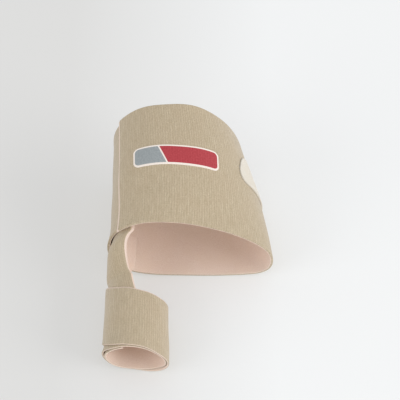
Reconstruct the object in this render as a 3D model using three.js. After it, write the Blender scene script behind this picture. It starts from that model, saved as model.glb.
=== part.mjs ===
// Bunion corrector: a knit and foam wrap round the midfoot, with a strap along the bunion joint
// to a second wrap round the big toe. It is shown closed, in the form that it has when worn.
// Millimetres, +Z up, toes towards -Y, big toe side towards -X.
// The origin is on the inner face of the sole part, under the middle of the midfoot wrap.

import * as THREE from 'three';

// Fabric: a rib knit bonded to thin foam. The toe strap is stretched thinner.
const wrapFabric = 1.6;
const strapFabric = 1.5;
const toeFabric = 1;
const layerGap = 0.3;

// Midfoot wrap, from its toe side (front) to its ankle side (rear).
const wrapLength = 66;
const frontWidth = 85.8;
const rearWidth = 68.5;
const frontHeight = 45.5;
const rearHeight = 64.5;
const frontMedialX = -39.3;
const rearMedialX = -38.8;
const lateralBulge = 2;
const crownBulge = 1;
const jointFlare = 1.3;
const jointFlareLength = 14;
const jointFlareMost = 1.5; // share of the swelling's rise that is reached at most, past the front edge
const wrapStartTurn = 0.56;
const wrapEndTurn = 1.69;
const lapSetBack = 2;
const lapFullTurn = 0.7;
const lapEndTurn = 0.8;

// Toe wrap: a strap wound round the big toe, wider in its hollow at the tip than at the root.
const toeStrapWidth = 35.8;
const toeFrontY = -97.3;
const toeTipWidth = 28.6;
const toeRootWidth = 26.9;
const toeTipMedialX = -39.6;
const toeRootMedialX = -38.9;
const toeCornerFlare = 3;
const toeCornerDroop = 0.6;
const toeFlareLength = 12.5;
const toeLayerOpening = 0.7;
const toeTipHeight = 21.5;
const toeRootHeight = 22;
const toeBottomZ = 1.2;
const toeStartTurn = 0.6;
const toeEndTurn = 2.95;
const innerTurnSetBack = 4.1;
const outerTurnSetBack = 11.3;
const innerTurnTrim = 9;

// Medial strap, from its end under the midfoot wrap to its end under the toe wrap.
const strapLap = 21;
const strapWaistShare = 0.09;
const strapWaistSkew = 0.8;
const bunionBulge = 1.5;

// Closure tab of hook material on the lateral side.
const tabWidth = 20;
const tabLength = 34;
const tabTipRadius = 9;
const tabFootRadius = 3;
const tabThickness = 1;
const tabLean = 0.4;
const tabCentreY = 10.5;
const tabCentreTurn = 1.289;

// Label on the instep.
const labelLength = 45;
const labelWidth = 11;
const labelCornerRadius = 3;
const labelThickness = 0.6;
const labelCentreY = 3.5;
const labelCentreTurn = 1.53;

// Facets: steps round a section, and rows along the foot.
const wrapStepsPerTurn = 100;
const wrapRows = 8;
const toeStepsPerTurn = 40;
const toeRows = 6;
const strapColumns = 16;
const strapRows = 24;
const patchColumns = 16;
const patchRows = 6;
const girthSteps = 24;
const ringSteps = 260;
const turnStep = 0.002;

// Closed cross-sections, as the control points of a smooth ring. They run from the middle of the sole
// over the lateral side, the crown and the medial side. Across is a share of the section's width from
// the medial side, up a share of its height. One turn is once round the ring.
const sectionRings = {
  front: [
    { across: 0.42, up: 0.0 },
    { across: 0.72, up: 0.0 },
    { across: 0.96, up: 0.02 },
    { across: 1.03, up: 0.25 },
    { across: 0.98, up: 0.47 },
    { across: 0.83, up: 0.72 },
    { across: 0.6, up: 0.93 },
    { across: 0.38, up: 1.03 },
    { across: 0.2, up: 1.0 },
    { across: 0.04, up: 0.85 },
    { across: -0.02, up: 0.5 },
    { across: 0.02, up: 0.18 },
    { across: 0.17, up: 0.02 },
  ],
  rear: [
    { across: 0.45, up: 0.0 },
    { across: 0.72, up: 0.0 },
    { across: 0.95, up: 0.03 },
    { across: 1.02, up: 0.25 },
    { across: 0.99, up: 0.52 },
    { across: 0.88, up: 0.8 },
    { across: 0.68, up: 1.0 },
    { across: 0.45, up: 1.02 },
    { across: 0.22, up: 0.97 },
    { across: 0.04, up: 0.8 },
    { across: -0.01, up: 0.5 },
    { across: 0.03, up: 0.2 },
    { across: 0.2, up: 0.03 },
  ],
  toe: [
    { across: 0.5, up: 0.0 },
    { across: 0.74, up: 0.0 },
    { across: 0.93, up: 0.1 },
    { across: 1.03, up: 0.3 },
    { across: 1.01, up: 0.52 },
    { across: 0.89, up: 0.74 },
    { across: 0.7, up: 0.92 },
    { across: 0.47, up: 1.03 },
    { across: 0.23, up: 1.02 },
    { across: 0.06, up: 0.85 },
    { across: -0.05, up: 0.54 },
    { across: 0.04, up: 0.2 },
    { across: 0.24, up: 0.01 },
  ],
};

// The toe strap's edges along its winding. Inner and outer say how far the front edge stands back, and
// trim how much narrower the strap is at its rear edge, as shares of the three sizes above.
const toeEdge = [
  { turn: 0.6, inner: 0.1, outer: 0, trim: 1 },
  { turn: 0.7, inner: 0.3, outer: 0, trim: 1 },
  { turn: 0.8, inner: 0.65, outer: 0, trim: 1 },
  { turn: 1.1, inner: 0.5, outer: 0, trim: 1 },
  { turn: 1.3, inner: -0.1, outer: 0, trim: 1 },
  { turn: 1.5, inner: 0.1, outer: 0, trim: 1 },
  { turn: 1.63, inner: 0.1, outer: 0, trim: 1 },
  { turn: 1.8, inner: 1, outer: 0, trim: 1 },
  { turn: 1.95, inner: 0.85, outer: 0, trim: 1 },
  { turn: 2.2, inner: 0, outer: 0, trim: 0 },
  { turn: 2.35, inner: -0.2, outer: 0, trim: -0.05 },
  { turn: 2.5, inner: 0.1, outer: 0, trim: 0.03 },
  { turn: 2.62, inner: 0, outer: 0.09, trim: -0.1 },
  { turn: 2.72, inner: 0, outer: 0.48, trim: -0.1 },
  { turn: 2.8, inner: 0, outer: 0.96, trim: 0.04 },
  { turn: 2.95, inner: 0, outer: 1.1, trim: 0.14 },
];

// Edges of the medial strap, as turns on the two cross-sections that it joins.
const strapEdges = {
  foot: { dorsal: 0.645, lower: 0.9 },
  toe: { dorsal: 0.53, lower: 0.9 },
};

const lerp = THREE.MathUtils.lerp;
const smoothstep = THREE.MathUtils.smoothstep;

// A point of a uniform cubic B-spline ring of control points.
function splinePoint(ring, turn) {
  const count = ring.length;
  const position = THREE.MathUtils.euclideanModulo(turn, 1) * count;
  const first = Math.floor(position);
  const t = position - first;
  const weights = [
    (1 - t) ** 3 / 6,
    (3 * t ** 3 - 6 * t ** 2 + 4) / 6,
    (-3 * t ** 3 + 3 * t ** 2 + 3 * t + 1) / 6,
    t ** 3 / 6,
  ];
  const point = new THREE.Vector2();
  weights.forEach((weight, k) => {
    const control = ring[(first + k - 1 + count) % count];
    point.x += weight * control.across;
    point.y += weight * control.up;
  });
  return point;
}

// A ring scaled so that its curve just fills the unit square.
function unitRing(ring) {
  const box = new THREE.Box2();
  for (let k = 0; k < ringSteps; k += 1) {
    box.expandByPoint(splinePoint(ring, k / ringSteps));
  }
  const size = box.getSize(new THREE.Vector2());
  return ring.map(({ across, up }) => ({
    across: (across - box.min.x) / size.x,
    up: (up - box.min.y) / size.y,
  }));
}

const frontRing = unitRing(sectionRings.front);
const rearRing = unitRing(sectionRings.rear);
const toeRing = unitRing(sectionRings.toe);

// Slope of a table's column at a row: none at its ends and peaks, else between those on either side.
function slopeAt(table, key, column, k) {
  if (k === 0 || k === table.length - 1) {
    return 0;
  }
  const rise = (low, high) => (high[column] - low[column]) / (high[key] - low[key]);
  const before = rise(table[k - 1], table[k]);
  const after = rise(table[k], table[k + 1]);
  return before * after > 0 ? (2 * before * after) / (before + after) : 0;
}

// Reading of a column of a table along a smooth curve that doesn't overshoot its rows.
function readTable(table, key, column, at) {
  let k = 0;
  while (k < table.length - 2 && at > table[k + 1][key]) {
    k += 1;
  }
  const low = table[k];
  const high = table[k + 1];
  const step = high[key] - low[key];
  const t = (at - low[key]) / step;
  const lowSlope = slopeAt(table, key, column, k) * step;
  const highSlope = slopeAt(table, key, column, k + 1) * step;
  const ends = low[column] * (2 * t ** 3 - 3 * t ** 2 + 1) + high[column] * (3 * t ** 2 - 2 * t ** 3);
  return ends + lowSlope * (t ** 3 - 2 * t ** 2 + t) + highSlope * (t ** 3 - t ** 2);
}

// Point of the foot's surface inside the midfoot wrap, at a turn of its section and a place along Y.
// Towards the front edge its medial side swells over the bunion joint.
function footPoint(turn, y) {
  const share = y / wrapLength + 0.5;
  const bulge = 4 * Math.max(0, share) * Math.max(0, 1 - share);
  const point = splinePoint(frontRing, turn).lerp(splinePoint(rearRing, turn), share);
  const width = lerp(frontWidth, rearWidth, share) + lateralBulge * bulge;
  const height = lerp(frontHeight, rearHeight, share) + crownBulge * bulge;
  const medialX = lerp(frontMedialX, rearMedialX, share);
  const nearFront = THREE.MathUtils.clamp(1 - (y + wrapLength / 2) / jointFlareLength, 0, jointFlareMost);
  const x = medialX + point.x * width - jointFlare * nearFront ** 2 * (1 - point.x) ** 3;
  return new THREE.Vector2(x, point.y * height);
}

// Point of the big toe's surface inside the toe wrap. Its medial side flares out at the tip, most of all
// low down.
function toePoint(turn, y) {
  const share = (y - toeFrontY) / toeStrapWidth;
  const point = splinePoint(toeRing, turn);
  const width = lerp(toeTipWidth, toeRootWidth, share);
  const height = lerp(toeTipHeight, toeRootHeight, share);
  const medialX = lerp(toeTipMedialX, toeRootMedialX, share);
  const flare = toeCornerFlare * Math.max(0, 1 - (y - toeFrontY) / toeFlareLength) ** 2;
  const x = medialX + point.x * width - flare * (1 - point.x) ** 3 * (1 - toeCornerDroop * point.y);
  return new THREE.Vector2(x, toeBottomZ + point.y * height);
}

// A surface point moved outwards, square to its section.
function raised(surface, turn, y, lift) {
  const point = surface(turn, y);
  const tangent = surface(turn + turnStep, y).sub(surface(turn - turnStep, y)).normalize();
  return new THREE.Vector3(point.x + tangent.y * lift, y, point.y - tangent.x * lift);
}

// Height of a wound layer's inner face over the surface, rising by one layer in each turn.
const wrapPitch = wrapFabric + layerGap;
const toePitch = toeFabric + layerGap;
const soleTurn = 1;
const medialTurn = 0.78;
const turnsUnderStrap = 2;

function wrapLift(turn) {
  return (turn - soleTurn) * wrapPitch;
}

// The toe strap's layers stand further apart towards the front edge on the medial side.
function toeLift(turn, y) {
  const towardsFront = Math.max(0, 1 - (y - toeFrontY) / toeFlareLength);
  const medial = 0.5 + 0.5 * Math.cos(2 * Math.PI * (turn - medialTurn));
  return (turn - toeStartTurn) * (toePitch + toeLayerOpening * towardsFront ** 2 * medial);
}

// Closed body of a sheet: place(u, v, side) gives its inner (side 0) and outer (side 1) face.
// u runs round the section in the direction of its turns, v runs along +Y.
function sheetGeometry(columns, rows, place) {
  const positions = [];
  const index = [];
  const faceSize = (columns + 1) * (rows + 1);
  const id = (side, i, j) => side * faceSize + i * (rows + 1) + j;
  const quad = (a, b, c, d) => index.push(a, b, c, a, c, d);
  for (let side = 0; side <= 1; side += 1) {
    for (let i = 0; i <= columns; i += 1) {
      for (let j = 0; j <= rows; j += 1) {
        positions.push(...place(i / columns, j / rows, side).toArray());
      }
    }
  }
  for (let i = 0; i < columns; i += 1) {
    for (let j = 0; j < rows; j += 1) {
      quad(id(1, i, j), id(1, i, j + 1), id(1, i + 1, j + 1), id(1, i + 1, j));
      quad(id(0, i, j), id(0, i + 1, j), id(0, i + 1, j + 1), id(0, i, j + 1));
    }
    quad(id(1, i, 0), id(1, i + 1, 0), id(0, i + 1, 0), id(0, i, 0));
    quad(id(0, i, rows), id(0, i + 1, rows), id(1, i + 1, rows), id(1, i, rows));
  }
  for (let j = 0; j < rows; j += 1) {
    quad(id(0, 0, j), id(0, 0, j + 1), id(1, 0, j + 1), id(1, 0, j));
    quad(id(1, columns, j), id(1, columns, j + 1), id(0, columns, j + 1), id(0, columns, j));
  }
  const geometry = new THREE.BufferGeometry();
  geometry.setAttribute('position', new THREE.Float32BufferAttribute(positions, 3));
  geometry.setIndex(index);
  geometry.computeVertexNormals();
  return geometry;
}

// The turn that lies a distance along the girth of the midfoot wrap from another one.
function turnAlongGirth(startTurn, distance, y) {
  let turn = startTurn;
  for (let k = 0; k < girthSteps; k += 1) {
    const speed = footPoint(turn + turnStep, y).distanceTo(footPoint(turn, y)) / turnStep;
    turn += distance / girthSteps / speed;
  }
  return turn;
}

// A point over the outer face of the midfoot wrap, by girth and foot-length distance from a centre.
function onWrap(centreTurn, centreY, girth, along, lift) {
  const y = centreY + along;
  const turn = turnAlongGirth(centreTurn, girth, y);
  return raised(footPoint, turn, y, wrapLift(turn) + wrapFabric + layerGap + lift);
}

// A patch with rounded corners on the midfoot wrap, its length along the girth. Lean is how far its ends
// slant, as a share of its width.
function patchOnWrap(centreTurn, centreY, length, width, thickness, tipRadius, footRadius, lean) {
  return sheetGeometry(patchColumns, patchRows, (u, v, side) => {
    const girth = (length / 2) * Math.sin((u - 0.5) * Math.PI);
    const radius = girth > 0 ? tipRadius : footRadius;
    const intoCorner = Math.max(0, Math.abs(girth) - (length / 2 - radius));
    const halfWidth = width / 2 - radius + Math.sqrt(radius ** 2 - intoCorner ** 2);
    const along = (2 * v - 1) * halfWidth;
    return onWrap(centreTurn, centreY, girth - lean * along, along, side * thickness);
  });
}

// The inner end's front edge stands back, so that the layer over it hides it.
function midfootWrap() {
  const columns = Math.round((wrapEndTurn - wrapStartTurn) * wrapStepsPerTurn);
  return sheetGeometry(columns, wrapRows, (u, v, side) => {
    const turn = lerp(wrapStartTurn, wrapEndTurn, u);
    const setBack = lapSetBack * (1 - smoothstep(turn, lapFullTurn, lapEndTurn));
    const y = (v - 0.5) * wrapLength + (1 - v) * setBack;
    return raised(footPoint, turn, y, wrapLift(turn) + side * wrapFabric);
  });
}

function toeWrap() {
  const columns = Math.round((toeEndTurn - toeStartTurn) * toeStepsPerTurn);
  return sheetGeometry(columns, toeRows, (u, v, side) => {
    const turn = lerp(toeStartTurn, toeEndTurn, u);
    const inner = readTable(toeEdge, 'turn', 'inner', turn) * innerTurnSetBack;
    const outer = readTable(toeEdge, 'turn', 'outer', turn) * outerTurnSetBack;
    const trim = readTable(toeEdge, 'turn', 'trim', turn) * innerTurnTrim;
    const y = toeFrontY + inner + outer + v * (toeStrapWidth - trim);
    return raised(toePoint, turn, y, toeLift(turn, y) + side * toeFabric);
  });
}

// The strap follows the foot under the midfoot wrap, and the toe under the toe wrap's outer turn,
// where it stops just behind the inner turns. Between the two it runs on in one smooth sweep.
function medialStrap() {
  const wrapFrontY = -wrapLength / 2;
  const rearY = wrapFrontY + strapLap;
  const frontY = toeFrontY + innerTurnSetBack + toeStrapWidth - innerTurnTrim + layerGap;
  const toeRearY = toeFrontY + outerTurnSetBack + toeStrapWidth;
  const span = wrapFrontY - toeRearY;
  const bareLength = wrapFrontY - toeFrontY - toeStrapWidth;
  const slopeStep = span / 20;
  const onFoot = (across, y, lift) => {
    const turn = lerp(strapEdges.foot.dorsal, strapEdges.foot.lower, across);
    return raised(footPoint, turn, y, wrapLift(turn) + lift);
  };
  const onToe = (across, y, lift) => {
    const turn = lerp(strapEdges.toe.dorsal, strapEdges.toe.lower, across);
    return raised(toePoint, turn, y, toeLift(turn + turnsUnderStrap, y) + lift);
  };
  return sheetGeometry(strapColumns, strapRows, (u, v, side) => {
    const y = lerp(frontY, rearY, v);
    const lift = (side - 1) * strapFabric - layerGap;
    const bare = THREE.MathUtils.clamp((wrapFrontY - y) / bareLength, 0, 1) ** strapWaistSkew;
    const across = u + (1 - u) * strapWaistShare * 4 * bare * (1 - bare);
    if (y >= wrapFrontY) {
      return onFoot(across, y, lift);
    }
    if (y <= toeRearY) {
      return onToe(across, y, lift);
    }
    const t = (y - toeRearY) / span;
    const arch = 1 - (2 * t - 1) ** 4;
    const start = onToe(across, toeRearY, lift);
    const end = onFoot(across, wrapFrontY, lift);
    const startSlope = onToe(across, toeRearY - slopeStep, lift).sub(start).divideScalar(-slopeStep);
    const endSlope = onFoot(across, wrapFrontY + slopeStep, lift).sub(end).divideScalar(slopeStep);
    const point = start.clone().multiplyScalar(2 * t ** 3 - 3 * t ** 2 + 1);
    point.addScaledVector(end, -2 * t ** 3 + 3 * t ** 2);
    point.addScaledVector(startSlope, (t ** 3 - 2 * t ** 2 + t) * span);
    point.addScaledVector(endSlope, (t ** 3 - t ** 2) * span);
    point.x -= bunionBulge * arch;
    return point;
  });
}

const closureTab = () =>
  patchOnWrap(
    tabCentreTurn,
    tabCentreY,
    tabLength,
    tabWidth,
    tabThickness,
    tabTipRadius,
    tabFootRadius,
    tabLean,
  );

const label = () =>
  patchOnWrap(
    labelCentreTurn,
    labelCentreY,
    labelLength,
    labelWidth,
    labelThickness,
    labelCornerRadius,
    labelCornerRadius,
    0,
  );

const knitBeige = { color: 0xb8a58a, roughness: 0.95, metalness: 0 };
const hookWhite = { color: 0xded7cb, roughness: 0.8, metalness: 0 };
const labelGrey = { color: 0x9a9e9f, roughness: 0.6, metalness: 0 };

function piece(name, geometry, finish) {
  const mesh = new THREE.Mesh(geometry, new THREE.MeshStandardMaterial(finish));
  mesh.name = name;
  return mesh;
}

const group = new THREE.Group();
group.name = 'bunion_corrector';
group.add(piece('midfoot_wrap', midfootWrap(), knitBeige));
group.add(piece('medial_strap', medialStrap(), knitBeige));
group.add(piece('toe_wrap', toeWrap(), knitBeige));
group.add(piece('closure_tab', closureTab(), hookWhite));
group.add(piece('label', label(), labelGrey));

export default group;
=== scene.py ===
# Looks of the bunion corrector in its worn form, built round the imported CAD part.
# Sizes are in millimetres, as in the part's source, and become metres where a mesh is made.

import math

import bpy
import numpy as np
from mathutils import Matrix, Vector


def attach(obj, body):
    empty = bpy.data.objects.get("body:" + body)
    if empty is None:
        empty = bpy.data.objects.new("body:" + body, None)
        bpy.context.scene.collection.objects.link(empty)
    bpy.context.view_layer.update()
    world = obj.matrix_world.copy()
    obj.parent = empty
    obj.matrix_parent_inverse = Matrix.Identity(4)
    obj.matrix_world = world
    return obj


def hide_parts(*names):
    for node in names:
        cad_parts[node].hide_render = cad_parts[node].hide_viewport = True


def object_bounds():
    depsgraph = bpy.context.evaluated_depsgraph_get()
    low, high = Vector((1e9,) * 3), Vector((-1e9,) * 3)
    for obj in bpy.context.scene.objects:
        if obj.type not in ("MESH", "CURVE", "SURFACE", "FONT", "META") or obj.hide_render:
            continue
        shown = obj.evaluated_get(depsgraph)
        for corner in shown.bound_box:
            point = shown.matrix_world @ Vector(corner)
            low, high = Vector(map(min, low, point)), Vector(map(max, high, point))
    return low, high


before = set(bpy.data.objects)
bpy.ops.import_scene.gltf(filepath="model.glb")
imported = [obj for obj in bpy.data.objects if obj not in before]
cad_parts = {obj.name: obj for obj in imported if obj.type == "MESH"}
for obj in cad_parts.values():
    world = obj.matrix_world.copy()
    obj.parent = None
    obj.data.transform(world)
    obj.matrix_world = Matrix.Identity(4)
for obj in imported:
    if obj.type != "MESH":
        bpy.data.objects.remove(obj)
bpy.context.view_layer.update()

# Midfoot wrap
# The wide part: one long strip of beige rib knit bonded to cream-pink foam, cut with shears and wound
# into a loop of a little more than one turn. Its outer end is cut square and lies at the medial side, and
# its front edge stands slightly off the strap under it.

MM = 0.001
LAYER_GAP = 0.3
WRAP_FABRIC = 1.6
WRAP_LENGTH = 66
FRONT_WIDTH = 85.8
REAR_WIDTH = 68.5
FRONT_HEIGHT = 45.5
REAR_HEIGHT = 64.5
FRONT_MEDIAL_X = -39.3
REAR_MEDIAL_X = -38.8
LATERAL_BULGE = 2
CROWN_BULGE = 1
FRONT_FLARE = 1.3
FRONT_FLARE_LENGTH = 14
FRONT_FLARE_MOST = 1.5
SOLE_TURN = 1
WRAP_START_TURN = 0.56
WRAP_END_TURN = 1.69
LAP_SET_BACK = 2
LAP_FULL_TURN = 0.7
LAP_END_TURN = 0.8

# The front and rear edges stand off by this much, fading inwards, in waves along the edge.
EDGE_LIFT = 0.5
EDGE_LIFT_LENGTH = 3.5
EDGE_WAVES_PER_TURN = 7
EDGE_WAVE_SHARE = 0.4

# Control points of the closed cross-sections at the wrap's front and rear edges, from the middle of the
# sole part round the lateral side: share of the width from the medial side, share of the height.
FRONT_SECTION = [
    (0.42, 0.0),
    (0.72, 0.0),
    (0.96, 0.02),
    (1.03, 0.25),
    (0.98, 0.47),
    (0.83, 0.72),
    (0.6, 0.93),
    (0.38, 1.03),
    (0.2, 1.0),
    (0.04, 0.85),
    (-0.02, 0.5),
    (0.02, 0.18),
    (0.17, 0.02),
]
REAR_SECTION = [
    (0.45, 0.0),
    (0.72, 0.0),
    (0.95, 0.03),
    (1.02, 0.25),
    (0.99, 0.52),
    (0.88, 0.8),
    (0.68, 1.0),
    (0.45, 1.02),
    (0.22, 0.97),
    (0.04, 0.8),
    (-0.01, 0.5),
    (0.03, 0.2),
    (0.2, 0.03),
]

# Unevenness of the stretched cloth, alike in all layers: height in millimetres, waves per turn, lean along
# Y and phase in radians.
WRAP_RIPPLES = [
    (0.16, 5, 0.11, 0),
    (0.13, 9, -0.08, 1.3),
    (0.1, 3, 0.23, 2.1),
]


def mix(first, second, share):
    return first + (second - first) * share


def smoothstep(value, low, high):
    t = np.clip((value - low) / (high - low), 0, 1)
    return t * t * (3 - 2 * t)


def spline_points(ring, turn):
    """Points of a uniform cubic B-spline ring; one turn is once round it."""
    count = len(ring)
    position = np.mod(turn, 1) * count
    first = np.floor(position).astype(int)
    t = position - first
    weights = [
        (1 - t) ** 3 / 6,
        (3 * t**3 - 6 * t**2 + 4) / 6,
        (-3 * t**3 + 3 * t**2 + 3 * t + 1) / 6,
        t**3 / 6,
    ]
    return sum(w[..., None] * ring[(first + k - 1) % count] for k, w in enumerate(weights))


def unit_ring(section):
    """A cross-section scaled so that its curve just fills a unit square."""
    steps = 260
    ring = np.array(section)
    curve = spline_points(ring, np.arange(steps) / steps)
    low, high = curve.min(axis=0), curve.max(axis=0)
    return (ring - low) / (high - low)


front_ring = unit_ring(FRONT_SECTION)
rear_ring = unit_ring(REAR_SECTION)


def wrap_inside(turn, y):
    """The surface inside the midfoot wrap, as X and Z. Its medial side swells in front."""
    share = y / WRAP_LENGTH + 0.5
    bulge = 4 * np.maximum(0, share) * np.maximum(0, 1 - share)
    shape = mix(spline_points(front_ring, turn), spline_points(rear_ring, turn), share[..., None])
    width = mix(FRONT_WIDTH, REAR_WIDTH, share) + LATERAL_BULGE * bulge
    height = mix(FRONT_HEIGHT, REAR_HEIGHT, share) + CROWN_BULGE * bulge
    medial_x = mix(FRONT_MEDIAL_X, REAR_MEDIAL_X, share)
    near_front = np.clip(1 - (y + WRAP_LENGTH / 2) / FRONT_FLARE_LENGTH, 0, FRONT_FLARE_MOST)
    x = medial_x + shape[..., 0] * width - FRONT_FLARE * near_front**2 * (1 - shape[..., 0]) ** 3
    return np.stack([x, shape[..., 1] * height], axis=-1)


def ripple(table, turn, y):
    """The unevenness at a place, in millimetres."""
    angle = 2 * math.pi * turn
    return sum(height * np.sin(waves * angle + lean * y + phase) for height, waves, lean, phase in table)


def raised(surface, ripples, turn, y, lift):
    """Surface points moved outwards, square to their section."""
    step = 0.002
    point = surface(turn, y)
    tangent = surface(turn + step, y) - surface(turn - step, y)
    tangent /= np.linalg.norm(tangent, axis=-1, keepdims=True)
    height = lift + ripple(ripples, turn, y)
    x = point[..., 0] + tangent[..., 1] * height
    z = point[..., 1] - tangent[..., 0] * height
    return np.stack([x, y, z], axis=-1)


def on_wrap(turn, y, lift):
    """A point of the wound wrap. Each turn lies a fabric and a gap above the last."""
    return raised(wrap_inside, WRAP_RIPPLES, turn, y, (turn - SOLE_TURN) * (WRAP_FABRIC + LAYER_GAP) + lift)


def lengths_along(points):
    """The length of a line up to each of its points."""
    return np.concatenate([[0], np.cumsum(np.linalg.norm(np.diff(points, axis=0), axis=-1))])


# Materials are node trees. Colours are sRGB, as seen in the photograph, and patterns are set out in
# millimetres of flat cloth, which each piece carries as its map "cloth_mm": X along the winding, Y across.


def linear(code):
    """A linear colour, with alpha, from an sRGB hex code."""
    channels = [int(code[k : k + 2], 16) / 255 for k in (0, 2, 4)]
    return [c / 12.92 if c <= 0.04045 else ((c + 0.055) / 1.055) ** 2.4 for c in channels] + [1]


def new_material(name):
    material = bpy.data.materials.new(name)
    material.use_nodes = True
    material.node_tree.nodes.clear()
    return material


def add(material, kind, inputs=None, output=0, **settings):
    """Adds a shader node with its settings and gives one of its outputs. An input is a number, a vector,
    the hex code of a colour, or the output of another node."""
    made = material.node_tree.nodes.new("ShaderNode" + kind)
    for name, value in settings.items():
        setattr(made, name, value)
    for name, value in (inputs or {}).items():
        if isinstance(value, bpy.types.NodeSocket):
            material.node_tree.links.new(value, made.inputs[name])
        else:
            made.inputs[name].default_value = linear(value) if isinstance(value, str) else value
    return made.outputs[output] if made.outputs else None


# Sockets of a colour Mix node: its share, its two colours and its result.
SHARE, FIRST, SECOND, MIXED = 0, 6, 7, 2

# The pitch that a Wave texture's bands have at scale 1.
WAVE_PITCH = 2 * math.pi / 20


def finish_surface(material, colour, height, relief, values):
    """Ends a material in a Principled shader, with a bump whose relief is in millimetres."""
    bump = add(material, "Bump", {"Strength": 1.0, "Distance": relief * MM, "Height": height})
    shader = add(material, "BsdfPrincipled", {"Base Color": colour, "Normal": bump, **values})
    add(material, "OutputMaterial", {"Surface": shader})
    return material


RIB_PITCH = 1.3
COURSE_PITCH = 0.95
STREAK_LENGTH = 6
PATCH_SIZE = 9
LINT_SIZE = 0.8
KNIT_RELIEF = 0.22
FOAM_CELL = 0.4
FOAM_CLOUD = 9
FOAM_RELIEF = 0.15


def rib_knit():
    """Polyester rib knit with a brushed, looped face. Its rows of stitches stand as fine ridges across the
    strip, broken and uneven in height, with a little lint and uneven tone. Their colour is painted shade in
    the grooves and painted highlight on the ridges. The pitch is that of the broken lines which the
    photograph shows, somewhat coarser than single stitches."""
    knit = new_material("rib_knit_beige")
    cloth = add(knit, "UVMap", uv_map="cloth_mm")
    wave = {"Vector": cloth, "Detail Scale": 1.5}
    rib_wave = {**wave, "Scale": WAVE_PITCH / RIB_PITCH, "Distortion": 2.2}
    course_wave = {**wave, "Scale": WAVE_PITCH / COURSE_PITCH, "Distortion": 2.5}
    ribs = add(knit, "TexWave", rib_wave, "Fac", bands_direction="X")
    courses = add(knit, "TexWave", course_wave, "Fac", bands_direction="Y")
    streak = (1 / RIB_PITCH, 1 / STREAK_LENGTH, 1)
    streak_place = add(knit, "VectorMath", {0: cloth, 1: streak}, operation="MULTIPLY")
    streak_noise = {"Vector": streak_place, "Scale": 1.0, "Detail": 3.0, "Roughness": 0.65}
    patch_noise = {"Vector": cloth, "Scale": 1 / PATCH_SIZE, "Detail": 3.0}
    lint_noise = {"Vector": cloth, "Scale": 1 / LINT_SIZE, "Detail": 3.0, "Roughness": 0.7}
    streaks = add(knit, "TexNoise", streak_noise)
    patches = add(knit, "TexNoise", patch_noise)
    lint = add(knit, "TexNoise", lint_noise)

    loops = add(knit, "MapRange", {"Value": courses, "To Min": 0.5})
    breaks = add(knit, "MapRange", {"Value": streaks, "From Min": 0.38, "From Max": 0.62, "To Min": 0.3})
    stitches = add(knit, "Math", {0: ribs, 1: loops}, operation="MULTIPLY")
    stitches = add(knit, "Math", {0: stitches, 1: breaks}, operation="MULTIPLY")
    height = add(knit, "Math", {0: lint, 1: 0.8, 2: stitches}, operation="MULTIPLY_ADD")

    lint_tone = add(knit, "MapRange", {"Value": lint, "From Min": 0.35, "From Max": 0.65, "To Max": 0.4})
    streak_tone = add(knit, "MapRange", {"Value": streaks, "From Min": 0.3, "From Max": 0.7, "To Max": 0.25})
    patch_tone = add(knit, "MapRange", {"Value": patches, "From Min": 0.3, "From Max": 0.7, "To Max": 0.25})
    # Painted shade and highlight: the colour is darker in the grooves between stitch ridges and lighter on
    # their tops, mixed with the lint and streak tone that the knit has.
    rib_shade_and_tone = add(knit, "Math", {0: stitches, 1: 0.4, 2: lint_tone}, operation="MULTIPLY_ADD")
    rib_shade_and_tone = add(knit, "Math", {0: rib_shade_and_tone, 1: streak_tone}, operation="ADD")
    colour = add(knit, "Mix", {SHARE: rib_shade_and_tone, FIRST: "a7967a", SECOND: "d3c3a8"}, MIXED, data_type="RGBA")
    colour = add(knit, "Mix", {SHARE: patch_tone, FIRST: colour, SECOND: "bba68c"}, MIXED, data_type="RGBA")
    values = {"Roughness": 0.95, "Sheen Weight": 0.45, "Sheen Roughness": 0.5, "Specular IOR Level": 0.2}
    return finish_surface(knit, colour, height, KNIT_RELIEF, values)


def soft_foam():
    """Open-cell polyurethane foam, sliced: matt, with cells too fine to tell apart and slow clouds of
    tint. The cells are drawn as coarse as they need to show."""
    foam = new_material("open_foam_cream_pink")
    place = add(foam, "TexCoord", output="Object")
    cell_noise = {"Vector": place, "Scale": 1 / (FOAM_CELL * MM), "Roughness": 0.7}
    cloud_noise = {"Vector": place, "Scale": 1 / (FOAM_CLOUD * MM), "Detail": 3.0}
    cells = add(foam, "TexNoise", cell_noise)
    clouds = add(foam, "TexNoise", cloud_noise)
    cell_tone = add(foam, "MapRange", {"Value": cells, "From Min": 0.35, "From Max": 0.65})
    cloud_tone = add(foam, "MapRange", {"Value": clouds, "From Min": 0.3, "From Max": 0.7, "To Max": 0.35})
    colour = add(foam, "Mix", {SHARE: cell_tone, FIRST: "e2cabb", SECOND: "eedccf"}, MIXED, data_type="RGBA")
    colour = add(foam, "Mix", {SHARE: cloud_tone, FIRST: colour, SECOND: "e4cfba"}, MIXED, data_type="RGBA")
    values = {"Roughness": 0.9, "Sheen Weight": 0.1, "Specular IOR Level": 0.25}
    return finish_surface(foam, colour, cells, FOAM_RELIEF, values)


LAMINATE = [rib_knit(), soft_foam()]

# One cut edge: how far the knit draws back from the foam, in millimetres, how much of the thickness the
# knit covers there, and how squarely the bare foam stands up.
DRAWN, COVERED, SQUARE = range(3)
CLOSED_CUT = (0.1, 0.85, 0)
OPEN_CUT = (0.9, 0.35, 0)
BARE_CUT = (1.8, 0.2, 1)
DRAW_FADE = 2.5

# The face and the back roll over towards a cut, by these shares of the thickness.
FACE_ROLL = 0.25
BACK_ROLL = 0.2
ROLL_STATIONS = [0, 0.12, 0.3, 0.6, 1.1]
SEAM_CLEARANCE = 0.05

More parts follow.
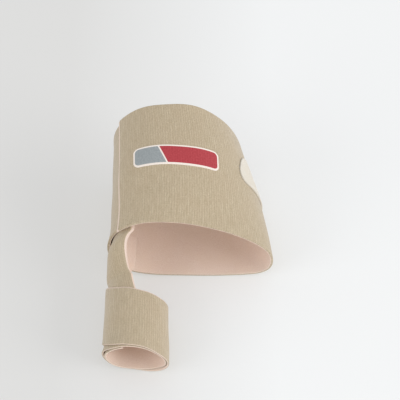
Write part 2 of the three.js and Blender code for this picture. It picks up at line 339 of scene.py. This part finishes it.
# The rim above the seam of knit and foam, at it, and at two places below it: the share of the way from
# the face's edge to the back's, and the share of the fall, each for a rounded and for a square cut.
ABOVE_SEAM = (0, 0.8)
AT_SEAM = 0.03
UPPER_FOAM = ((0.1, 0.15), (0.1, 0.05))
LOWER_FOAM = ((0.6, 0.6), (0.85, 0.25))
KNIT_BANDS = 2


def stations(length, step):
    """Places along a length, closer together at both ends."""
    last = ROLL_STATIONS[-1]
    middle = np.linspace(last, length - last, max(2, round((length - 2 * last) / step)) + 1)
    ends = np.array(ROLL_STATIONS[:-1])
    return np.concatenate([ends, middle, length - ends[::-1]])


def edge_drop(distance, radius):
    """How far a face falls off towards a rolled edge."""
    near = radius - np.minimum(distance, radius)
    return radius - np.sqrt(radius**2 - near**2)


def rim_profile(thickness, cuts):
    """The rim between face and back, as shares of the way and lifts, from the face down. The knit covers
    its first bands, down to the seam."""
    covered, square = np.array(cuts)[:, COVERED], np.array(cuts)[:, SQUARE]
    high = thickness - FACE_ROLL * thickness
    low = BACK_ROLL * thickness
    seam = np.clip(thickness * (1 - covered), low + SEAM_CLEARANCE, high - SEAM_CLEARANCE)
    profile = [(ABOVE_SEAM[0], mix(high, seam, ABOVE_SEAM[1])), (AT_SEAM, seam)]
    for rounded, upright in (UPPER_FOAM, LOWER_FOAM):
        way, fall = (mix(first, second, square) for first, second in zip(rounded, upright))
        profile.append((way, mix(seam, low, fall)))
    return profile


def laminate(name, columns, rows, place, thickness, cuts, materials, cloth=None):
    """A closed cloth body. columns and rows are the stations of its flat form in millimetres, and
    place(x, y, lift) puts cloth points in space. cuts are its four edges: first and last column, first
    and last row. The face and the knit's share of the rim take the first material, the rest the second."""
    cloth = cloth or (lambda x, y: (x, y))
    x, y = np.meshgrid(columns, rows, indexing="ij")
    sides = [x - columns[0], columns[-1] - x, y - rows[0], rows[-1] - y]
    edge = np.minimum.reduce(sides)
    drawn = [cut[DRAWN] * np.exp(-side / DRAW_FADE) for cut, side in zip(cuts, sides)]
    face_x = x + drawn[0] - drawn[1]
    face_y = y + drawn[2] - drawn[3]
    face_lift = thickness - edge_drop(edge, FACE_ROLL * thickness)
    back_lift = edge_drop(edge, BACK_ROLL * thickness)

    last_i, last_j = len(columns) - 1, len(rows) - 1
    border = [(0, j, 0) for j in range(last_j)]
    border += [(i, last_j, 3) for i in range(last_i)]
    border += [(last_i, j, 1) for j in range(last_j, 0, -1)]
    border += [(i, 0, 2) for i in range(last_i, 0, -1)]
    i, j, side = np.array(border).T
    flat = [(face_x.ravel(), face_y.ravel(), face_lift.ravel()), (x.ravel(), y.ravel(), back_lift.ravel())]
    profile = rim_profile(thickness, [cuts[k] for k in side])
    for share, lift in profile:
        flat.append((mix(face_x[i, j], x[i, j], share), mix(face_y[i, j], y[i, j], share), lift))
    points = np.concatenate([place(*part) for part in flat])
    uvs = np.concatenate([np.stack(cloth(part[0], part[1]), axis=-1) for part in flat])

    size = x.size
    at = np.arange(size).reshape(x.shape)
    cells = np.stack([at[:-1, :-1], at[:-1, 1:], at[1:, 1:], at[1:, :-1]], axis=-1).reshape(-1, 4)
    faces = [cells, size + cells[:, ::-1]]
    slots = [np.zeros(len(cells), int), np.ones(len(cells), int)]
    loops = [at[i, j]]
    loops += [2 * size + k * len(border) + np.arange(len(border)) for k in range(len(profile))]
    loops += [size + at[i, j]]
    for k, (upper, lower) in enumerate(zip(loops, loops[1:])):
        faces.append(np.stack([upper, lower, np.roll(lower, -1), np.roll(upper, -1)], axis=-1))
        slots.append(np.full(len(border), 0 if k < KNIT_BANDS else 1))
    faces = np.concatenate(faces)

    mesh = bpy.data.meshes.new(name)
    mesh.from_pydata((points * MM).tolist(), [], faces.tolist())
    mesh.uv_layers.new(name="cloth_mm")
    mesh.uv_layers[0].data.foreach_set("uv", uvs[faces.ravel()].ravel())
    for material in materials:
        mesh.materials.append(material)
    mesh.polygons.foreach_set("material_index", np.concatenate(slots))
    mesh.polygons.foreach_set("use_smooth", np.ones(len(faces), bool))
    mesh.validate()
    piece = bpy.data.objects.new(name, mesh)
    bpy.context.scene.collection.objects.link(piece)
    return piece


def dress(piece, node):
    """The piece stands for a CAD node, which is hidden, and is attached to the root body."""
    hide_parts(node)
    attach(piece, "root")


WINDING_STEPS = 1200
WRAP_MESH = (1.2, 1.5)

wrap_turns = np.linspace(WRAP_START_TURN, WRAP_END_TURN, WINDING_STEPS)
wrap_lengths = lengths_along(on_wrap(wrap_turns, np.zeros(WINDING_STEPS), 0))
wrap_flat_length = float(wrap_lengths[-1])


def place_wrap(x, y, lift):
    turn = np.interp(x, wrap_lengths, wrap_turns)
    from_edge = WRAP_LENGTH / 2 - np.abs(y)
    lap = 1 - smoothstep(turn, LAP_FULL_TURN, LAP_END_TURN)
    y = y + LAP_SET_BACK * lap * (0.5 - y / WRAP_LENGTH)
    wave = 1 - EDGE_WAVE_SHARE + EDGE_WAVE_SHARE * np.sin(EDGE_WAVES_PER_TURN * 2 * math.pi * turn)
    return on_wrap(turn, y, lift + EDGE_LIFT * np.exp(-from_edge / EDGE_LIFT_LENGTH) * wave)


wrap = laminate(
    "midfoot_wrap_cloth",
    stations(wrap_flat_length, WRAP_MESH[0]),
    stations(WRAP_LENGTH, WRAP_MESH[1]) - WRAP_LENGTH / 2,
    place_wrap,
    WRAP_FABRIC,
    [OPEN_CUT, BARE_CUT, CLOSED_CUT, CLOSED_CUT],
    LAMINATE,
)
dress(wrap, "midfoot_wrap")

# Toe wrap
# A narrower strip of the same laminate, stretched thinner and wound into a tube of more than two turns.
# They are shifted against each other, so that the cut edges of three layers show at the front.

TOE_FABRIC = 1
TOE_STRAP_WIDTH = 35.8
TOE_FRONT_Y = -97.3
TOE_TIP_WIDTH = 28.6
TOE_ROOT_WIDTH = 26.9
TOE_TIP_MEDIAL_X = -39.6
TOE_ROOT_MEDIAL_X = -38.9
TOE_CORNER_FLARE = 3
TOE_CORNER_DROOP = 0.6
TOE_FLARE_LENGTH = 12.5
TOE_LAYER_OPENING = 0.7
TOE_TIP_HEIGHT = 21.5
TOE_ROOT_HEIGHT = 22
TOE_BOTTOM_Z = 1.2
TOE_START_TURN = 0.6
TOE_END_TURN = 2.95
MEDIAL_TURN = 0.78
INNER_SET_BACK = 4.1
OUTER_SET_BACK = 11.3
INNER_TRIM = 9

# Control points of the cross-section inside it, and the unevenness of its cloth, as for the midfoot wrap.
TOE_SECTION = [
    (0.5, 0.0),
    (0.74, 0.0),
    (0.93, 0.1),
    (1.03, 0.3),
    (1.01, 0.52),
    (0.89, 0.74),
    (0.7, 0.92),
    (0.47, 1.03),
    (0.23, 1.02),
    (0.06, 0.85),
    (-0.05, 0.54),
    (0.04, 0.2),
    (0.24, 0.01),
]
TOE_RIPPLES = [
    (0.08, 4, 0.2, 0),
    (0.05, 7, -0.31, 0.7),
]

# How far the strip's edges stand back along the winding: turn, and the shares of the inner set-back, the
# outer set-back and the rear trim there.
TURN, INNER, OUTER, TRIM = range(4)
TOE_EDGE = [
    (0.6, 0.1, 0, 1),
    (0.7, 0.3, 0, 1),
    (0.8, 0.65, 0, 1),
    (1.1, 0.5, 0, 1),
    (1.3, -0.1, 0, 1),
    (1.5, 0.1, 0, 1),
    (1.63, 0.1, 0, 1),
    (1.8, 1, 0, 1),
    (1.95, 0.85, 0, 1),
    (2.2, 0, 0, 0),
    (2.35, -0.2, 0, -0.05),
    (2.5, 0.1, 0, 0.03),
    (2.62, 0, 0.09, -0.1),
    (2.72, 0, 0.48, -0.1),
    (2.8, 0, 0.96, 0.04),
    (2.95, 0, 1.1, 0.14),
]

TOE_FRONT_CUT = (0.15, 0.45, 0)
TOE_REAR_CUT = (0.8, 0.2, 1)
TOE_MESH = (0.8, 0.9)

toe_ring = unit_ring(TOE_SECTION)


def toe_inside(turn, y):
    """The surface inside the toe wrap, as X and Z. Its medial side flares out at the tip."""
    share = (y - TOE_FRONT_Y) / TOE_STRAP_WIDTH
    shape = spline_points(toe_ring, turn)
    width = mix(TOE_TIP_WIDTH, TOE_ROOT_WIDTH, share)
    height = mix(TOE_TIP_HEIGHT, TOE_ROOT_HEIGHT, share)
    flare = TOE_CORNER_FLARE * np.maximum(0, 1 - (y - TOE_FRONT_Y) / TOE_FLARE_LENGTH) ** 2
    x = mix(TOE_TIP_MEDIAL_X, TOE_ROOT_MEDIAL_X, share) + shape[..., 0] * width
    x -= flare * (1 - shape[..., 0]) ** 3 * (1 - TOE_CORNER_DROOP * shape[..., 1])
    return np.stack([x, TOE_BOTTOM_Z + shape[..., 1] * height], axis=-1)


def toe_lift(turn, y):
    """The layers stand further apart towards the front edge on the medial side."""
    towards_front = np.maximum(0, 1 - (y - TOE_FRONT_Y) / TOE_FLARE_LENGTH)
    medial = 0.5 + 0.5 * np.cos(2 * math.pi * (turn - MEDIAL_TURN))
    pitch = TOE_FABRIC + LAYER_GAP + TOE_LAYER_OPENING * towards_front**2 * medial
    return (turn - TOE_START_TURN) * pitch


def hermite(start, end, start_slope, end_slope, t):
    """A smooth curve between two values with given slopes."""
    ends = start * (2 * t**3 - 3 * t**2 + 1) + end * (3 * t**2 - 2 * t**3)
    return ends + start_slope * (t**3 - 2 * t**2 + t) + end_slope * (t**3 - t**2)


def read_toe_edge(column, turn):
    """A column of the table, read along a smooth curve that doesn't overshoot its rows."""
    rows = np.array(TOE_EDGE, float)
    at, value = rows[:, TURN], rows[:, column]
    rise = np.diff(value) / np.diff(at)
    before, after = rise[:-1], rise[1:]
    agree = before * after > 0
    slope = np.zeros(len(at))
    slope[1:-1][agree] = 2 * before[agree] * after[agree] / (before + after)[agree]
    k = np.clip(np.searchsorted(at, turn, side="right") - 1, 0, len(at) - 2)
    step = at[k + 1] - at[k]
    return hermite(value[k], value[k + 1], slope[k] * step, slope[k + 1] * step, (turn - at[k]) / step)


toe_turns = np.linspace(TOE_START_TURN, TOE_END_TURN, WINDING_STEPS)
toe_middle_y = np.full(WINDING_STEPS, TOE_FRONT_Y + TOE_STRAP_WIDTH / 2)
toe_middle = raised(toe_inside, TOE_RIPPLES, toe_turns, toe_middle_y, toe_lift(toe_turns, toe_middle_y))
toe_lengths = lengths_along(toe_middle)
toe_flat_length = float(toe_lengths[-1])
toe_mean_width = float(np.mean(TOE_STRAP_WIDTH - read_toe_edge(TRIM, toe_turns) * INNER_TRIM))


def place_toe(x, y, lift):
    turn = np.interp(x, toe_lengths, toe_turns)
    front = read_toe_edge(INNER, turn) * INNER_SET_BACK + read_toe_edge(OUTER, turn) * OUTER_SET_BACK
    width = TOE_STRAP_WIDTH - read_toe_edge(TRIM, turn) * INNER_TRIM
    y = TOE_FRONT_Y + front + y / TOE_STRAP_WIDTH * width
    return raised(toe_inside, TOE_RIPPLES, turn, y, toe_lift(turn, y) + lift)


toe = laminate(
    "toe_wrap_cloth",
    stations(toe_flat_length, TOE_MESH[0]),
    stations(TOE_STRAP_WIDTH, TOE_MESH[1]),
    place_toe,
    TOE_FABRIC,
    [OPEN_CUT, OPEN_CUT, TOE_FRONT_CUT, TOE_REAR_CUT],
    LAMINATE,
)
dress(toe, "toe_wrap")

# Medial strap
# The strap of the same laminate that joins the two wraps along the medial side, lapped under the midfoot
# wrap and under the outer turn of the toe wrap. Its upper edge is cut hollow, and the foam shows along it
# as a light line.

STRAP_FABRIC = 1.5
STRAP_LAP = 21
STRAP_WAIST_SHARE = 0.09
STRAP_WAIST_SKEW = 0.8
STRAP_BULGE = 1.5
STRAP_REAR_DORSAL_TURN = 0.645
STRAP_REAR_LOWER_TURN = 0.9
STRAP_FRONT_DORSAL_TURN = 0.53
STRAP_FRONT_LOWER_TURN = 0.9
TURNS_UNDER_STRAP = 2
STRAP_DORSAL_CUT = (1.1, 0.3, 0)
STRAP_MESH = (0.8, 0.9)
STEPS_PER_SPAN = 20

wrap_front_y = -WRAP_LENGTH / 2
strap_rear_y = wrap_front_y + STRAP_LAP
strap_front_y = TOE_FRONT_Y + INNER_SET_BACK + TOE_STRAP_WIDTH - INNER_TRIM + LAYER_GAP
toe_rear_y = TOE_FRONT_Y + OUTER_SET_BACK + TOE_STRAP_WIDTH
strap_span = wrap_front_y - toe_rear_y
strap_bare_length = wrap_front_y - TOE_FRONT_Y - TOE_STRAP_WIDTH


def strap_under_wrap(across, y, lift):
    return on_wrap(mix(STRAP_REAR_DORSAL_TURN, STRAP_REAR_LOWER_TURN, across), y, lift)


def strap_under_toe_wrap(across, y, lift):
    turn = mix(STRAP_FRONT_DORSAL_TURN, STRAP_FRONT_LOWER_TURN, across)
    return raised(toe_inside, TOE_RIPPLES, turn, y, toe_lift(turn + TURNS_UNDER_STRAP, y) + lift)


def strap_points(across, y, height):
    """The strap under the midfoot wrap, under the toe wrap, and in one smooth sweep between the two."""
    lift = height - STRAP_FABRIC - LAYER_GAP
    t = np.clip((y - toe_rear_y) / strap_span, 0, 1)
    arch = 1 - (2 * t - 1) ** 4
    bare = np.clip((wrap_front_y - y) / strap_bare_length, 0, 1) ** STRAP_WAIST_SKEW
    across = across + (1 - across) * STRAP_WAIST_SHARE * 4 * bare * (1 - bare)
    step = strap_span / STEPS_PER_SPAN
    toe_end = np.full(y.shape, float(toe_rear_y))
    wrap_end = np.full(y.shape, float(wrap_front_y))
    start = strap_under_toe_wrap(across, toe_end, lift)
    end = strap_under_wrap(across, wrap_end, lift)
    start_slope = (start - strap_under_toe_wrap(across, toe_end - step, lift)) / step * strap_span
    end_slope = (strap_under_wrap(across, wrap_end + step, lift) - end) / step * strap_span
    sweep = hermite(start, end, start_slope, end_slope, t[..., None])
    sweep[..., 0] -= STRAP_BULGE * arch
    sweep = np.where((y >= wrap_front_y)[..., None], strap_under_wrap(across, y, lift), sweep)
    return np.where((y <= toe_rear_y)[..., None], strap_under_toe_wrap(across, y, lift), sweep)


STRAP_STEPS = 120
WAIST_STEPS = 60
WAIST_Y = -42.0

waist_line = strap_points(np.linspace(0, 1, WAIST_STEPS), np.full(WAIST_STEPS, WAIST_Y), STRAP_FABRIC)
strap_flat_width = float(lengths_along(waist_line)[-1])
strap_middle_y = np.linspace(strap_front_y, strap_rear_y, STRAP_STEPS)
strap_middle = strap_points(np.full(STRAP_STEPS, 0.5), strap_middle_y, STRAP_FABRIC)
strap_lengths = lengths_along(strap_middle)
strap_flat_length = float(strap_lengths[-1])


def place_strap(x, y, lift):
    along = np.interp(y, strap_lengths, strap_middle_y)
    return strap_points(x / strap_flat_width, along, lift)


strap = laminate(
    "medial_strap_cloth",
    stations(strap_flat_width, STRAP_MESH[0]),
    stations(strap_flat_length, STRAP_MESH[1]),
    place_strap,
    STRAP_FABRIC,
    [STRAP_DORSAL_CUT, CLOSED_CUT, CLOSED_CUT, CLOSED_CUT],
    LAMINATE,
)
dress(strap, "medial_strap")

# Closure tab
# A rounded tab of off-white woven hook fabric, pressed on the outside of the midfoot wrap at the lateral
# side, where it grips the knit and keeps the wrap closed.

TAB_WIDTH = 20
TAB_LENGTH = 34
TAB_TIP_RADIUS = 9
TAB_BASE_RADIUS = 3
TAB_THICKNESS = 0.8
TAB_CENTRE_Y = 10.5
TAB_CENTRE_TURN = 1.289
TAB_LEAN = 0.4
PATCH_GAP = 0.06
PATCH_MESH = (0.5, 0.7)
ROW_PITCH = 0.9
PICK_PITCH = 0.7
SOIL_SIZE = 7
HOOK_RELIEF = 0.12


def hook_fabric():
    """Woven nylon hook fabric, back outwards: smoother than the knit, with fine close rows that are drawn
    as coarse as they need to show."""
    hook = new_material("hook_fabric_off_white")
    cloth = add(hook, "UVMap", uv_map="cloth_mm")
    wave = {"Vector": cloth, "Distortion": 0.3, "Detail Scale": 1.5}
    rows = add(hook, "TexWave", {**wave, "Scale": WAVE_PITCH / ROW_PITCH}, "Fac", bands_direction="Y")
    picks = add(hook, "TexWave", {**wave, "Scale": WAVE_PITCH / PICK_PITCH}, "Fac", bands_direction="X")
    weave = add(hook, "Math", {0: rows, 1: picks}, operation="MULTIPLY")
    soil = add(hook, "TexNoise", {"Vector": cloth, "Scale": 1 / SOIL_SIZE, "Detail": 3.0})
    soil_tone = add(hook, "MapRange", {"Value": soil, "From Min": 0.35, "From Max": 0.7, "To Max": 0.3})
    colour = add(hook, "Mix", {SHARE: weave, FIRST: "d5cdbf", SECOND: "f0ebe2"}, MIXED, data_type="RGBA")
    colour = add(hook, "Mix", {SHARE: soil_tone, FIRST: colour, SECOND: "ddd0bd"}, MIXED, data_type="RGBA")
    values = {"Roughness": 0.7, "Sheen Weight": 0.1, "Specular IOR Level": 0.4}
    return finish_surface(hook, colour, weave, HOOK_RELIEF, values)


def turns_along_girth(start_turn, distance, y):
    """The turn that lies a distance along the girth from another one."""
    steps = 24
    probe = 0.002
    turn = np.full(y.shape, float(start_turn))
    for _ in range(steps):
        ahead = wrap_inside(turn + probe, y) - wrap_inside(turn, y)
        turn = turn + distance / steps / (np.linalg.norm(ahead, axis=-1) / probe)
    return turn


def patch(name, length, width, tip_radius, base_radius, thickness, centre_turn, centre_y, lean, material):
    """A piece with rounded corners on the outside of the midfoot wrap, its length along the girth."""

    def cloth(x, y):
        radius = np.where(x > 0, tip_radius, base_radius)
        into_corner = np.clip(np.abs(x) - (length / 2 - radius), 0, radius)
        half_width = width / 2 - radius + np.sqrt(radius**2 - into_corner**2)
        return x, y * half_width / (width / 2)

    def place(x, y, lift):
        girth, along = cloth(x, y)
        y = centre_y + along
        turn = turns_along_girth(centre_turn, girth - lean * along, y)
        return on_wrap(turn, y, WRAP_FABRIC + PATCH_GAP + lift)

    columns = stations(length, PATCH_MESH[0]) - length / 2
    rows = stations(width, PATCH_MESH[1]) - width / 2
    piece = laminate(name, columns, rows, place, thickness, [CLOSED_CUT] * 4, [material, material], cloth)
    half_width = cloth(columns, np.full(columns.shape, width / 2))[1]
    return piece


tab = patch(
    "closure_tab_hook",
    TAB_LENGTH,
    TAB_WIDTH,
    TAB_TIP_RADIUS,
    TAB_BASE_RADIUS,
    TAB_THICKNESS,
    TAB_CENTRE_TURN,
    TAB_CENTRE_Y,
    TAB_LEAN,
    hook_fabric(),
)
dress(tab, "closure_tab")

# Label
# A thin printed film with rounded corners, heat-pressed flat on the crown of the midfoot wrap: a red
# field and a grey one, divided by a slanted cream stripe inside a cream border.

LABEL_LENGTH = 45
LABEL_WIDTH = 11
LABEL_CORNER = 3
LABEL_THICKNESS = 0.45
LABEL_CENTRE_Y = 3.5
LABEL_CENTRE_TURN = 1.53
LABEL_BORDER = 0.9
LABEL_SLANT = 0.45
LABEL_STRIPE = 0.7
LABEL_DIVIDE = 7
LABEL_RELIEF = 0.06
INK_EDGE = 0.1
INK_GRAIN = 0.9


def label_print():
    """Screen print on a thin polyurethane film: flat and half matt, with the ribs of the knit showing
    through a little and a fine grain in the ink."""
    label = new_material("label_film_red_grey")
    cloth = add(label, "UVMap", uv_map="cloth_mm")
    corner_centre = (LABEL_LENGTH / 2 - LABEL_CORNER, LABEL_WIDTH / 2 - LABEL_CORNER, 0)
    away = add(label, "VectorMath", {0: cloth}, operation="ABSOLUTE")
    away = add(label, "VectorMath", {0: away, 1: corner_centre}, operation="SUBTRACT")
    away = add(label, "VectorMath", {0: away, 1: (0, 0, 0)}, operation="MAXIMUM")
    reach = add(label, "VectorMath", {0: away}, "Value", operation="LENGTH")
    border_start = LABEL_CORNER - LABEL_BORDER
    border_range = {"From Min": border_start - INK_EDGE, "From Max": border_start}
    border = add(label, "MapRange", {"Value": reach, **border_range})

    place_x = add(label, "SeparateXYZ", {0: cloth}, "X")
    place_y = add(label, "SeparateXYZ", {0: cloth}, "Y")
    slant = add(label, "Math", {0: place_y, 1: LABEL_SLANT}, operation="MULTIPLY")
    along = add(label, "Math", {0: place_x, 1: slant}, operation="SUBTRACT")
    past = add(label, "Math", {0: along, 1: float(LABEL_DIVIDE)}, operation="SUBTRACT")
    from_stripe = add(label, "Math", {0: past}, operation="ABSOLUTE")
    half_stripe = LABEL_STRIPE / 2
    stripe_range = {"From Min": half_stripe, "From Max": half_stripe + INK_EDGE, "To Min": 1, "To Max": 0}
    stripe = add(label, "MapRange", {"Value": from_stripe, **stripe_range})
    side = add(label, "MapRange", {"Value": past, "From Min": -INK_EDGE / 2, "From Max": INK_EDGE / 2})
    cream = add(label, "Math", {0: border, 1: stripe}, operation="MAXIMUM")

    grain = add(label, "TexNoise", {"Vector": cloth, "Scale": 1 / INK_GRAIN})
    ink_tone = add(label, "MapRange", {"Value": grain, "From Min": 0.3, "From Max": 0.7})
    red = add(label, "Mix", {SHARE: ink_tone, FIRST: "a8353c", SECOND: "b8434a"}, MIXED, data_type="RGBA")
    grey = add(label, "Mix", {SHARE: ink_tone, FIRST: "8f9597", SECOND: "a0a5a6"}, MIXED, data_type="RGBA")
    colour = add(label, "Mix", {SHARE: side, FIRST: red, SECOND: grey}, MIXED, data_type="RGBA")
    colour = add(label, "Mix", {SHARE: cream, FIRST: colour, SECOND: "f3e8de"}, MIXED, data_type="RGBA")
    rib_wave = {"Vector": cloth, "Scale": WAVE_PITCH / RIB_PITCH, "Distortion": 1.0, "Detail Scale": 1.5}
    ribs = add(label, "TexWave", rib_wave, "Fac", bands_direction="X")
    return finish_surface(label, colour, ribs, LABEL_RELIEF, {"Roughness": 0.55, "Specular IOR Level": 0.4})


label_film = patch(
    "label_film",
    LABEL_LENGTH,
    LABEL_WIDTH,
    LABEL_CORNER,
    LABEL_CORNER,
    LABEL_THICKNESS,
    LABEL_CENTRE_TURN,
    LABEL_CENTRE_Y,
    0,
    label_print(),
)
dress(label_film, "label")

# Floor, light and camera
# A plain pale studio sheet, with a broad soft box at the right, a weaker one at the left and an even
# fill. The camera looks down on the front edges, as in the photograph.

FLOOR_GAP = 0.05
FLOOR_REACH = 4000
FLOOR_GRAIN = 1.1
FLOOR_RELIEF = 0.02
# The floor's painted shade runs from dark at the first X to light at the second, in millimetres.
FLOOR_PAINTED_SHADE = (-70, 50)
FLOOR_GLOW = 0.4
WORLD_STRENGTH = 0.7
BOX_SIZE = 1300
BOX_TARGET = (0, -30, 30)
KEY_PLACE = (1700, -600, 800)
KEY_WATTS = 20.5
FILL_PLACE = (-1600, -900, 800)
FILL_WATTS = 11.5
CAMERA_PLACE = (8.25, -588.4, 777.2)
CAMERA_TILT = 38
CAMERA_LENS = 155.4
CAMERA_SENSOR = 36
CAMERA_CLIP = 10


def studio_sheet():
    """Matt off-white plastic sheet, lit evenly from below, with painted shade making it a little darker
    towards the left.
    """
    sheet = new_material("lit_studio_sheet")
    place = add(sheet, "TexCoord", output="Object")
    across = add(sheet, "SeparateXYZ", {0: place}, "X")
    grain = add(sheet, "TexNoise", {"Vector": place, "Scale": 1 / (FLOOR_GRAIN * MM)})
    # Painted shade: the sheet's colour runs darker towards the left, where the light falls off.
    left, right = FLOOR_PAINTED_SHADE
    painted_shade = add(sheet, "MapRange", {"Value": across, "From Min": left * MM, "From Max": right * MM})
    colour = add(sheet, "Mix", {SHARE: painted_shade, FIRST: "a2a1a0", SECOND: "bfc0c1"}, MIXED, data_type="RGBA")
    glow = {"Emission Color": "fefefc", "Emission Strength": FLOOR_GLOW}
    values = {"Roughness": 0.9, "Specular IOR Level": 0.1, **glow}
    return finish_surface(sheet, colour, grain, FLOOR_RELIEF, values)


floor_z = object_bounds()[0].z - FLOOR_GAP * MM
floor_mesh = bpy.data.meshes.new("studio_floor")
reach = FLOOR_REACH * MM
corners = [(x * reach, y * reach, floor_z) for x, y in ((-1, -1), (1, -1), (1, 1), (-1, 1))]
floor_mesh.from_pydata(corners, [], [(0, 1, 2, 3)])
floor_mesh.materials.append(studio_sheet())
floor = bpy.data.objects.new("studio_floor", floor_mesh)
bpy.context.scene.collection.objects.link(floor)

world = bpy.data.worlds.new("studio_fill")
bpy.context.scene.world = world
world.use_nodes = True
backdrop = world.node_tree.nodes["Background"]
backdrop.inputs["Color"].default_value = linear("fbfdff")
backdrop.inputs["Strength"].default_value = WORLD_STRENGTH


def soft_box(name, place, watts):
    """A square area lamp that is turned to the part."""
    lamp = bpy.data.lights.new(name, "AREA")
    lamp.shape = "SQUARE"
    lamp.size = BOX_SIZE * MM
    lamp.energy = watts
    lamp.color = (1, 1, 1)
    holder = bpy.data.objects.new(name, lamp)
    holder.location = Vector(place) * MM
    holder.rotation_euler = (Vector(BOX_TARGET) - Vector(place)).to_track_quat("-Z", "Y").to_euler()
    bpy.context.scene.collection.objects.link(holder)


soft_box("key_soft_box", KEY_PLACE, KEY_WATTS)
soft_box("fill_soft_box", FILL_PLACE, FILL_WATTS)

lens = bpy.data.cameras.new("front_camera")
lens.lens = CAMERA_LENS
lens.sensor_width = CAMERA_SENSOR
lens.clip_start = CAMERA_CLIP * MM
camera = bpy.data.objects.new("front_camera", lens)
camera.location = [c * MM for c in CAMERA_PLACE]
camera.rotation_euler = (math.radians(CAMERA_TILT), 0, 0)
bpy.context.scene.collection.objects.link(camera)
bpy.context.scene.camera = camera
bpy.context.scene.view_settings.view_transform = "Standard"
